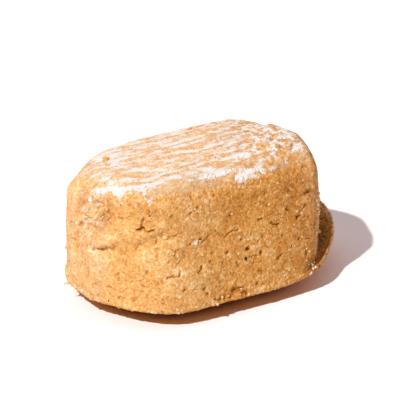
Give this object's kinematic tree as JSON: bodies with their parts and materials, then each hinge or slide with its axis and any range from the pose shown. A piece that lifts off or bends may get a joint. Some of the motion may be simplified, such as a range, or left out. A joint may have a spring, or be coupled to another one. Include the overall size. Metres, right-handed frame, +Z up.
{
  "type": "polvoron biscuit",
  "caption": "Small compact oval shortbread biscuit, lightly floured on its flat top, with a rounded underside it rests on and a squeezed-out, slightly curled lip at one end.",
  "frame": {"origin": "middle of the bounding box at table height", "axes": "+X along the biscuit towards the end with the lip, +Z up, -Y the long side that the picture shows"},
  "size_m": [0.0492, 0.0304, 0.025],
  "materials": {
    "crumb": "dry baked crumb, matt and grainy, with white flour and sugar dust on top"
  },
  "bodies": {
    "root": {"polvoron": "crumb"}
  },
  "joints": []
}
